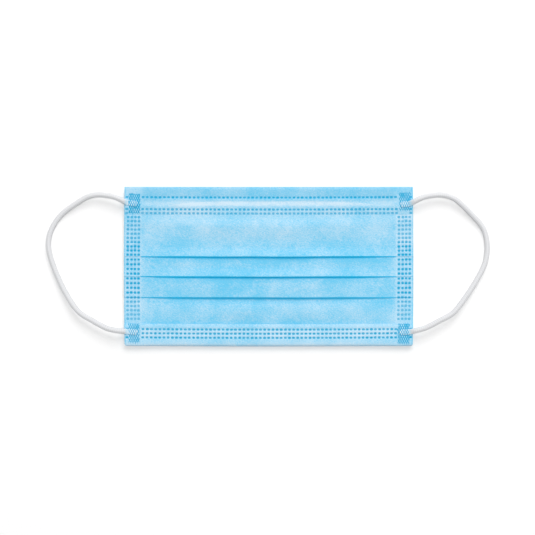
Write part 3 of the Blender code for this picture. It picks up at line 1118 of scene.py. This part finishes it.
@dataclass
class Hem:
    """A strip folded round an edge of the cloth and welded in rows of dashes."""

    name: str
    node: str
    flap: float
    rows: tuple[DashRow, ...]
    patches: tuple[Patch, ...]
    at_chin: bool
    top_height: float = 3.34
    edge_height: float = 3.4
    edge_start: float = 11.6
    edge_wall: float = 0.16
    side_edge_height: float = 2.8
    valley: float = 0.14
    valley_width: float = 0.95
    wall: float = 0.34
    back_height: float = 0.21
    back_side_lift: float = 1.62
    turn_at: float = 2.0
    turn_steps: int = 10
    edge_calm: float = 0.6
    dent: float = 0.06
    ripples: tuple[tuple[float, float, int], ...] = ((0.06, 14.0, 51), (0.03, 5.0, 52))
    side_sections: tuple[float, float, float] = (77.6, 86.7, 0.22)
    last_sections: tuple[float, ...] = (0.55, 0.3, 0.12, 0.0)
    least_gap: float = 0.1
    dash_rows: tuple[float, ...] = (0.18, 0.36, 0.52, 0.68)
    fold_rows: tuple[float, ...] = (2.6, 3.2)
    front_start: float = 3.8
    front_spacing: float = 0.3
    front_gap: float = 0.12
    back_spacing: float = 2.4
    thin_width: float = 2.0
    inner_step: int = 4
    plain_tone: float = 0.04
    close_rows: float = 4.0
    ridge_tone: float = 0.26
    ridge_width: float = 0.4
    fold_tone: float = 0.2
    fold_tone_end: tuple[float, float] = (0.8, 3.2)

    def drop_of(self, reach: np.ndarray) -> np.ndarray:
        """The drop of a place that is a reach away from the hem's folded edge."""
        return FORM.length - reach if self.at_chin else reach

    def reach_of_row(self, row: DashRow) -> float:
        """How far a row of dashes is from the hem's folded edge."""
        return FORM.length - row.drop if self.at_chin else row.drop

    def sections(self) -> np.ndarray:
        """Places of the sections along the mask: close everywhere, because dashes are short."""
        last = FORM.half - np.array(self.last_sections)
        side = np.concatenate([spaced(*self.side_sections), last])
        return merged([-side, self.rows[1].sections(), side], self.least_gap)[:, None]

    def front_height(self, x: np.ndarray, reach: np.ndarray) -> np.ndarray:
        """The front flap's middle: a soft quilt that dips along each row of dashes.

        Args:
            x: Places along the mask, as a column.
            reach: Distances from the folded edge.

        Returns:
            The heights.
        """
        opened = FORM.open(x)
        edge = self.side_edge_height + (self.edge_height - self.side_edge_height) * FORM.puff(x)
        to_edge = ramp(reach, self.edge_start, self.flap)
        height = self.top_height + (edge - self.top_height) * to_edge
        for row in self.rows:
            dip = self.valley * bell(reach, self.reach_of_row(row), self.valley_width)
            height = height - dip * opened * (1.0 - self.edge_calm * to_edge)
        return height + unevenness(x, reach, self.ripples) * opened * (1.0 - to_edge)

    def tone(self, x: np.ndarray, reach: np.ndarray) -> np.ndarray:
        """How pale the web looks: paler on the fold and on the ridges between two close rows.

        Args:
            x: Places along the mask, as a column.
            reach: Distances from the folded edge.

        Returns:
            What each point adds to the web's own tone, which runs from 0, deep, to 1, pale.
        """
        tone = self.plain_tone + self.fold_tone * (1.0 - ramp(reach, *self.fold_tone_end))
        reaches = sorted(self.reach_of_row(row) for row in self.rows)
        for a, b in zip(reaches, reaches[1:]):
            if b - a < self.close_rows:
                ridge = bell(reach, (a + b) / 2, (b - a) * self.ridge_width)
                tone = tone + self.ridge_tone * ridge * FORM.open(x)
        return tone - FORM.cut_tone(x)

    def shade(self, x: np.ndarray, reach: np.ndarray) -> np.ndarray:
        """The painted shade, which a plain hem has nowhere."""
        return np.zeros(np.broadcast(x, reach).shape)

    def front_rows(self) -> np.ndarray:
        """The front flap's rows, close together across each row of dashes.

        Returns:
            Distances from the folded edge, up to the flap's own edge.
        """
        dashes = np.array([self.reach_of_row(row) for row in self.rows])
        close = (dashes[:, None] + mirrored(self.dash_rows)).ravel()
        even = spaced(self.front_start, self.flap - self.least_gap, self.front_spacing)
        first_last = np.array([self.turn_at, *self.fold_rows, self.flap])
        rows = merged([close, even, first_last], self.front_gap)
        return rows[rows <= self.flap]

    def build(self, finish: bpy.types.Material) -> bpy.types.Object:
        """Makes the hem from its back flap's edge, round the fold, to its front flap's edge.

        Args:
            finish: Its material.

        Returns:
            The piece.
        """
        x = self.sections()
        back = self.back_height + self.back_side_lift * (1.0 - FORM.puff(x)) ** 3
        front_rows = self.front_rows()
        back_rows = spaced(self.flap, self.turn_at, self.back_spacing)
        front = self.front_height(x, front_rows[None, :])
        radius = (front[:, :1] - back) / 2
        centre = radius + self.wall / 2
        turn_reach, turn_height = half_turn(centre, back, front[:, :1], -1, self.turn_steps)
        back_reach, front_reach = (np.tile(rows, (len(x), 1)) for rows in (back_rows, front_rows))
        reach = np.concatenate([back_reach, turn_reach, front_reach], axis=1)
        height = np.concatenate([np.tile(back, back_rows.size), turn_height, front], axis=1)
        thin = ramp(reach, self.flap - self.thin_width, self.flap)
        thin[:, : back_rows.size + self.turn_steps] = 0.0
        wall = self.wall + (self.edge_wall - self.wall) * thin
        seen = np.arange(reach.shape[1]) >= back_rows.size
        drop = self.drop_of(reach)
        press = np.zeros_like(drop)
        for mark in (*self.rows, *self.patches):
            press = np.maximum(press, mark.press(x, drop))
        press = press * seen
        numbers = np.arange(reach.shape[1])
        keep = (numbers < back_rows.size + self.turn_steps) | (numbers % self.inner_step == 0)
        keep[-1] = True
        line = Line(x, drop, height, wall)
        marks = {"press": press, "tone": self.tone(x, reach), "shade": self.shade(x, reach)}
        if self.at_chin:
            piece = self.turned_shell(line, keep, press * self.dent, marks)
        else:
            piece = wall_shell(self.name, line, np.flatnonzero(keep), press * self.dent, marks)
        return dress(piece, self.node, finish)

    def turned_shell(self, line: Line, keep: np.ndarray, dent: np.ndarray, marks: dict) -> bpy.types.Object:
        """The chin hem's shell, whose rows run the other way so that its faces point outwards.

        Args:
            line: The wall's middle line, from the back flap's edge on.
            keep: For each row, whether the plain inner face needs it.
            dent: How far the outer face is pressed in at each point.
            marks: Attribute values of the outer face's points.

        Returns:
            The new object.
        """
        turned = Line(line.x, line.drop[:, ::-1], line.height[:, ::-1], line.wall[:, ::-1])
        flipped = {name: values[:, ::-1] for name, values in marks.items()}
        return wall_shell(self.name, turned, np.flatnonzero(keep[::-1]), dent[:, ::-1], flipped)


@dataclass
class TopHem(Hem):
    """The nose edge's hem, raised over the nose strip.

    Its tones follow from where the web lies close to the white strip, the channel, and where it
    is stretched over it, the glow: paler where the strip shows through, with a painted highlight
    on the flank that faces the light.
    """

    strip_drop: float = 9.7
    strip_half_width: float = 1.9
    strip_half_length: float = 56.0
    strip_lift: float = 0.36
    slope_above: float = 1.8
    slope_below: float = 4.6
    slope_ends: float = 14.0
    side_start: tuple[float, float] = (74.0, 79.0)
    first_row: tuple[float, float] = (6.9, 7.7)
    deep_above: float = 0.13
    channel_tone: float = 0.03
    channel_rise: float = 0.16
    channel_top: tuple[float, float] = (7.0, 10.0)
    channel_fall: float = 0.17
    channel_end: tuple[float, float] = (10.9, 12.0)
    # The lens: paler where the white strip shows through, with a painted highlight on its lit upper flank.
    glow: float = 0.33
    glow_middle: float = 4.0
    glow_top: float = 8.35
    glow_bend: float = 1.6
    glow_edge: tuple[float, float] = (0.3, 0.2)
    glow_bottom: tuple[float, float] = (10.0, 11.9)
    glow_tips: tuple[float, float] = (0.95, 1.25)
    # The painted shade along the folded edge, and how much of it the side bands lose.
    grey: float = 0.22
    grey_loss: float = 0.1
    grey_end: tuple[float, float] = (7.8, 9.4)

    def strip(self, x: np.ndarray, reach: np.ndarray) -> np.ndarray:
        """1 over the nose strip and 0 beside it, with a steeper slope above it than below.

        Args:
            x: Places along the mask.
            reach: Distances from the folded edge.

        Returns:
            The share at each place.
        """
        length, width = self.strip_half_length, self.strip_half_width
        along = 1.0 - ramp(np.abs(x), length, length + self.slope_ends)
        above = ramp(self.strip_drop - reach, width, width + self.slope_above)
        below = ramp(reach - self.strip_drop, width, width + self.slope_below)
        return along * (1.0 - above) * (1.0 - below)

    def front_height(self, x: np.ndarray, reach: np.ndarray) -> np.ndarray:
        """The quilted front flap, lifted over the nose strip."""
        return super().front_height(x, reach) + self.strip_lift * self.strip(x, reach)

    def tone(self, x: np.ndarray, reach: np.ndarray) -> np.ndarray:
        """Deep above the strip, paler over its channel, and palest in a lens that arches along it, where
        the strip shows through and a highlight is painted.

        The lens starts at glow_top plus glow_bend times the fourth power of the share of the
        strip's length, and ends on a straight line, so it is thin at its tips.

        Args:
            x: Places along the mask, as a column.
            reach: Distances from the folded edge.

        Returns:
            What each point adds to the web's own tone, which runs from 0, deep, to 1, pale.
        """
        inner = 1.0 - ramp(np.abs(x), *self.side_start)
        below_row = ramp(reach, *self.first_row)
        tone = super().tone(x, reach) - self.deep_above * (1.0 - below_row) * inner
        channel = self.channel_tone + self.channel_rise * ramp(reach, *self.channel_top)
        channel = channel - self.channel_fall * ramp(reach, *self.channel_end)
        tone = tone + channel * below_row * inner
        share = (x - self.glow_middle) / self.strip_half_length
        start = self.glow_top + self.glow_bend * share**4
        before, after = self.glow_edge
        glow = ramp(reach, start - before, start + after) * (1.0 - ramp(reach, *self.glow_bottom))
        return tone + self.glow * glow * (1.0 - ramp(np.abs(share), *self.glow_tips))

    def shade(self, x: np.ndarray, reach: np.ndarray) -> np.ndarray:
        """Painted shade: grey from the folded edge down to the first row of dashes, and a little below it.
        """
        grey = self.grey - self.grey_loss * ramp(np.abs(x), *self.side_start)
        return grey * (1.0 - ramp(reach, *self.grey_end))


@dataclass
class EarLoop:
    """One round knitted elastic, welded flat at its two ends on the mask's corners.

    The route's points are the distance out past the cloth's side, Y, and the height of the
    cord's underside. Those on the cloth lie at the seat's height instead.
    """

    name: str
    node: str
    side: Side
    route: tuple[tuple[float, float, float], ...]
    patches: tuple[Patch, Patch]
    fused_at: tuple[float, float]
    diameter: float = 3.1
    flat_share: float = 0.14
    squeeze: tuple[float, float] = (-2.6, 1.2)
    flat_widening: float = 0.06
    seat: float = 3.63
    curve_points: int = 4001
    ring_spacing: float = 0.26
    segments: int = 48
    # The real stitches are too fine to show at 0.6 mm a pixel, so fewer and longer ones are drawn.
    wales: int = 8
    stitch_length: float = 1.25
    stitch_share: float = 0.6
    chevron: float = 0.5
    relief: float = 0.055
    tip: float = 1.0
    least_tip: float = 0.02
    spread: float = 0.13
    dent: float = 0.08
    top_side: tuple[float, float] = (0.0, 0.3)
    pressed_end: tuple[float, float] = (-2.0, -0.8)
    fused_end: tuple[float, float] = (-1.5, 0.7)
    fused_loss: float = 0.5

    def thickness(self, out: np.ndarray) -> np.ndarray:
        """The cord's thickness, which is squeezed where it is welded to the mask."""
        return self.diameter * (self.flat_share + (1.0 - self.flat_share) * ramp(out, *self.squeeze))

    def path(self) -> np.ndarray:
        """The centres of the cord's rings in millimetres, evenly spaced.

        The route's points are joined by the cubic curve that passes through b and c with the
        slopes (c - a) / 2 and (d - b) / 2, for every four points a, b, c and d in a row. It is
        then measured and cut into even steps.

        Returns:
            The centres, from the upper weld to the lower one.
        """
        route = np.array(self.route)
        out, up, lift = route.T
        seat = np.where(out < 0.0, self.seat, lift)
        points = np.stack([self.side.value * (FORM.half + out), up, seat + self.thickness(out) / 2], axis=1)
        padded = np.concatenate([points[:1], points, points[-1:]])
        share = np.linspace(0.0, len(points) - 1.0, self.curve_points)
        index = np.minimum(share.astype(int), len(points) - 2)
        t = (share - index)[:, None]
        a, b, c, d = (padded[index + k] for k in range(4))
        square, cube = 2 * a - 5 * b + 4 * c - d, 3 * b - a - 3 * c + d
        fine = 0.5 * (2 * b + (c - a) * t + square * t**2 + cube * t**3)
        along = np.concatenate([[0.0], np.cumsum(np.linalg.norm(np.diff(fine, axis=0), axis=1))])
        even = spaced(0.0, along[-1], self.ring_spacing)
        return np.stack([np.interp(even, along, fine[:, k]) for k in range(3)], axis=1)

    def stitches(self, along: np.ndarray, angle: np.ndarray) -> np.ndarray:
        """The knit's relief: cosine waves along the cord in chevrons, and ribs round it.

        Args:
            along: The rings' distances along the cord.
            angle: The points' angles round it.

        Returns:
            Heights from -1 to 1, rings by points.
        """
        wale = angle * self.wales / (2.0 * math.pi)
        chevron = np.abs(2.0 * (wale % 1.0) - 1.0)
        phase = along[:, None] / self.stitch_length + self.chevron * chevron[None, :]
        ribs = (1.0 - self.stitch_share) * np.cos(2.0 * math.pi * wale)[None, :]
        return self.stitch_share * np.cos(2.0 * math.pi * phase) + ribs

    def build(self, finish: bpy.types.Material) -> bpy.types.Object:
        """Args:
            finish: Its material.

        Returns:
            The piece.
        """
        path = self.path()
        rings = len(path)
        steps = np.linalg.norm(np.diff(path, axis=0), axis=1)
        along = np.concatenate([[0.0], np.cumsum(steps)])
        total = float(along[-1])
        tangent = np.gradient(path, axis=0)
        tangent /= np.linalg.norm(tangent, axis=1)[:, None]
        sideways = np.cross([0.0, 0.0, 1.0], tangent)
        sideways /= np.linalg.norm(sideways, axis=1)[:, None]
        upwards = np.cross(tangent, sideways)
        angle = 2.0 * math.pi * np.arange(self.segments) / self.segments
        stitch = self.stitches(along, angle)
        out = np.abs(path[:, 0]) - FORM.half
        thick = self.thickness(out)
        roundness = (thick / self.diameter)[:, None]
        end = np.clip(np.minimum(along, total - along) / self.tip, self.least_tip, 1.0)
        rounded = np.sqrt(np.clip(1.0 - (1.0 - end) ** 2, 0.0, 1.0))[:, None]
        swell = 1.0 + self.relief / (self.diameter / 2) * stitch * roundness
        widening = 1.0 + self.flat_widening * (1.0 - roundness)
        half_width = (self.diameter / 2 * widening) * rounded * swell
        half_height = (thick / 2)[:, None] * rounded * swell
        cos, sin = np.cos(angle)[None, :], np.sin(angle)[None, :]
        points = (
            path[:, None, :]
            + sideways[:, None, :] * (half_width * cos)[..., None]
            + upwards[:, None, :] * (half_height * sin)[..., None]
        )
        drop = FORM.height / 2 - points[..., 1]
        press = np.zeros(points.shape[:2])
        for patch in self.patches:
            press = np.maximum(press, patch.press(points[..., 0], drop, self.spread))
        past_weld = out - np.where(path[:, 1] > 0.0, self.fused_at[0], self.fused_at[1])
        pressed = 1.0 - ramp(past_weld, *self.pressed_end)
        press = press * ramp(sin, *self.top_side) * pressed[:, None]
        points[..., 2] -= self.dent * press
        fused = 1.0 - ramp(past_weld, *self.fused_end) - self.fused_loss * pressed
        # The mark stitch is painted shade, strongest in the hollows of the knit's relief.
        marks = {
            "stitch": (0.5 - 0.5 * stitch) * roundness,
            "fused": np.broadcast_to(fused[:, None], press.shape),
            "press": press,
        }
        piece = tube(self.name, points * MM, marks)
        dress(piece, self.node, finish)
        log.info("%s: %.1f mm long in %d rings", self.name, total, rings)
        return piece


def tube(name: str, rings: np.ndarray, marks: dict[str, np.ndarray]) -> bpy.types.Object:
    """A closed tube through rings of points, with a point at the middle of each end.

    Args:
        name: The object's name.
        rings: Points in metres, rings by segments by 3.
        marks: Values for each point.

    Returns:
        The new object.
    """
    count, segments = rings.shape[:2]
    index = np.arange(count * segments).reshape(count, segments)
    after = np.roll(index, -1, axis=1)
    quads = np.stack([index[:-1], index[1:], after[1:], after[:-1]], axis=-1).reshape(-1, 4)
    first, last = count * segments, count * segments + 1
    start = np.stack([index[0], after[0], np.full(segments, first)], axis=-1)
    finish = np.stack([after[-1], index[-1], np.full(segments, last)], axis=-1)
    points = np.concatenate([rings.reshape(-1, 3), [rings[0].mean(axis=0)], [rings[-1].mean(axis=0)]])
    mesh = bpy.data.meshes.new(name)
    mesh.from_pydata(points, [], quads.tolist() + start.tolist() + finish.tolist())
    full = {
        mark: np.concatenate([np.asarray(values).ravel(), [np.mean(values[0])], [np.mean(values[-1])]])
        for mark, values in marks.items()
    }
    return finished(name, mesh, full)


LEFT_ROUTE = (
    (-8.3, 37.9, 0.0), (-5.6, 38.2, 0.0), (-3.0, 38.7, 0.0), (-0.5, 39.4, 0.0), (3.3, 41.2, 3.8),
    (7.9, 42.7, 3.5), (14.5, 43.5, 3.0), (19.0, 43.1, 2.6), (23.0, 41.8, 2.2), (27.6, 39.1, 1.7),
    (32.2, 36.1, 1.1), (36.1, 33.2, 0.6), (40.0, 29.2, 0.2), (43.0, 24.5, 0.1), (45.0, 19.6, 0.1),
    (45.7, 15.1, 0.1), (45.5, 10.5, 0.1), (44.3, 5.2, 0.1), (42.3, -0.7, 0.2), (39.7, -6.9, 0.5),
    (37.1, -12.5, 1.0), (34.2, -17.8, 1.6), (30.9, -23.0, 2.2), (27.6, -27.0, 2.6), (24.3, -29.6, 2.9),
    (19.7, -32.2, 3.2), (15.1, -34.8, 3.4), (10.5, -37.1, 3.6), (6.6, -38.2, 3.7), (2.7, -38.8, 3.8),
    (-0.6, -39.0, 0.0), (-3.0, -39.3, 0.0), (-5.6, -39.5, 0.0), (-8.4, -39.6, 0.0),
)
RIGHT_ROUTE = (
    (-8.0, 37.6, 0.0), (-5.6, 37.7, 0.0), (-2.9, 38.0, 0.0), (-0.3, 39.0, 0.0), (3.0, 40.8, 3.8),
    (7.3, 42.4, 3.6), (11.9, 43.2, 3.3), (15.8, 43.4, 3.0), (20.4, 42.8, 2.7), (24.7, 41.1, 2.4),
    (28.2, 38.5, 2.0), (32.2, 34.8, 1.4), (36.1, 30.8, 0.8), (40.1, 26.5, 0.3), (42.7, 22.5, 0.1),
    (44.2, 17.7, 0.1), (44.8, 12.5, 0.1), (44.5, 7.2, 0.1), (43.3, 1.9, 0.2), (41.0, -3.3, 0.5),
    (38.1, -8.5, 0.9), (34.8, -13.8, 1.4), (31.2, -19.0, 1.9), (27.6, -23.9, 2.4), (24.0, -27.9, 2.8),
    (20.4, -30.3, 3.0), (15.8, -32.6, 3.3), (11.2, -35.1, 3.5), (7.3, -36.9, 3.7), (3.4, -38.1, 3.8),
    (-0.3, -39.0, 0.0), (-2.9, -39.4, 0.0), (-5.6, -39.6, 0.0), (-8.6, -39.7, 0.0),
)


# The studio


@dataclass
class Studio:
    """A white table, soft light from above and beyond the nose edge, and a camera straight above."""

    camera_height: float = 1600.0
    camera_x: float = -0.7
    camera_y: float = -0.5
    view_width: float = 323.4
    focus_height: float = 3.2
    sensor: float = 36.0
    clip_end: float = 20000.0
    floor_size: float = 4000.0
    floor_colour: str = "f6f6f6"
    floor_roughness: float = 0.9
    floor_specular: float = 0.1
    sky: float = 0.34
    overhead: float = 1.4
    overhead_spread: float = 11.0
    overhead_tilt: float = 3.0
    lamp_power: float = 29.2
    lamp_size: float = 1650.0
    lamp_place: tuple[float, float, float] = (375.0, 1590.0, 1440.0)

    def camera(self) -> None:
        """Makes the camera, straight above the mask.

        Its lens is the sensor's width times the distance to the cloth's front, divided by the
        width that the view has there.
        """
        made = bpy.data.cameras.new("camera")
        made.sensor_width = self.sensor
        made.lens = self.sensor * (self.camera_height - self.focus_height) / self.view_width
        made.clip_end = self.clip_end * MM
        eye = bpy.data.objects.new("camera", made)
        eye.location = (self.camera_x * MM, self.camera_y * MM, self.camera_height * MM)
        bpy.context.scene.collection.objects.link(eye)
        bpy.context.scene.camera = eye

    def floor(self) -> bpy.types.Object:
        """Makes the table top, under white paper so matt and smooth that it shows as one tone."""
        half = self.floor_size / 2 * MM
        mesh = bpy.data.meshes.new("table_top")
        corners = [(-half, -half, 0), (half, -half, 0), (half, half, 0), (-half, half, 0)]
        mesh.from_pydata(corners, [], [(0, 1, 2, 3)])
        made = bpy.data.objects.new("table_top", mesh)
        bpy.context.scene.collection.objects.link(made)
        finish, shader = empty_material("white_paper_sweep")
        shader.inputs["Base Color"].default_value = linear(self.floor_colour)
        shader.inputs["Roughness"].default_value = self.floor_roughness
        shader.inputs["Specular IOR Level"].default_value = self.floor_specular
        mesh.materials.append(finish)
        return made

    def lights(self) -> None:
        """Makes a faint white sky, a soft light from above, and a lamp that points at the mask."""
        scene = bpy.context.scene
        world = bpy.data.worlds.new("soft_white")
        world.use_nodes = True
        sky = world.node_tree.nodes["Background"]
        sky.inputs["Color"].default_value = (1.0, 1.0, 1.0, 1.0)
        sky.inputs["Strength"].default_value = self.sky
        scene.world = world
        above = bpy.data.lights.new("overhead", "SUN")
        above.energy = self.overhead
        above.angle = math.radians(self.overhead_spread)
        made = bpy.data.objects.new("overhead", above)
        made.rotation_euler = (-math.radians(self.overhead_tilt), 0.0, 0.0)
        scene.collection.objects.link(made)
        lamp = bpy.data.lights.new("soft_box", "AREA")
        lamp.energy = self.lamp_power
        lamp.shape = "DISK"
        lamp.size = self.lamp_size * MM
        made = bpy.data.objects.new("soft_box", lamp)
        place = Vector(self.lamp_place) * MM
        made.location = place
        made.rotation_euler = (-place).to_track_quat("-Z", "Y").to_euler()
        scene.collection.objects.link(made)
        scene.view_settings.view_transform = "Standard"
        scene.view_settings.look = "None"
        scene.view_settings.exposure = 0.0
        scene.view_settings.gamma = 1.0


def build_mask() -> None:
    elastic = KnittedElastic().material()
    web = SpunbondCloth().material()
    corners = {side: (PATCHES["top"][i], PATCHES["bottom"][i]) for i, side in enumerate(Side)}
    for side, node, route, fused_at in (
        (Side.LEFT, "ear_loop_left", LEFT_ROUTE, (-0.3, -0.6)),
        (Side.RIGHT, "ear_loop_right", RIGHT_ROUTE, (-0.6, -1.3)),
    ):
        EarLoop(f"{node}_dressed", node, side, route, corners[side], fused_at).build(elastic)
    top = TopHem(
        "top_hem_dressed",
        "top_hem",
        16.6,
        (
            DashRow(6.14, 1.0, 1, -76.23, 2.5105, 1.28),
            DashRow(13.36, 0.9, 2, -76.34, 2.5183, 1.14),
            DashRow(15.75, 0.78, 3, -76.39, 2.5203, 1.06),
        ),
        PATCHES["top"],
        at_chin=False,
        valley=0.06,
        plain_tone=0.0,
        ridge_tone=0.1,
        fold_tone=0.0,
    ).build(web)
    bottom = Hem(
        "bottom_hem_dressed",
        "bottom_hem",
        13.6,
        (
            DashRow(85.95, 0.95, 4, -76.21, 2.5117, 0.94),
            DashRow(88.4, 1.0, 5, -76.33, 2.5128, 0.99),
            DashRow(90.9, 1.0, 6, -76.39, 2.5136, 1.0),
        ),
        PATCHES["bottom"],
        at_chin=True,
        edge_height=2.95,
        edge_wall=0.3,
        side_edge_height=3.0,
    ).build(web)
    cloth = PleatedCloth().build(web)
    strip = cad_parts["nose_strip"]
    strip.data.materials.clear()
    strip.data.materials.append(CoatedWire().material())


def main() -> None:
    """Builds the studio and the mask."""
    logging.basicConfig(level=logging.INFO, format="%(name)s: %(message)s")
    studio = Studio()
    studio.camera()
    studio.floor()
    studio.lights()
    build_mask()
    bpy.context.view_layer.update()


if __name__ == "__main__":
    main()
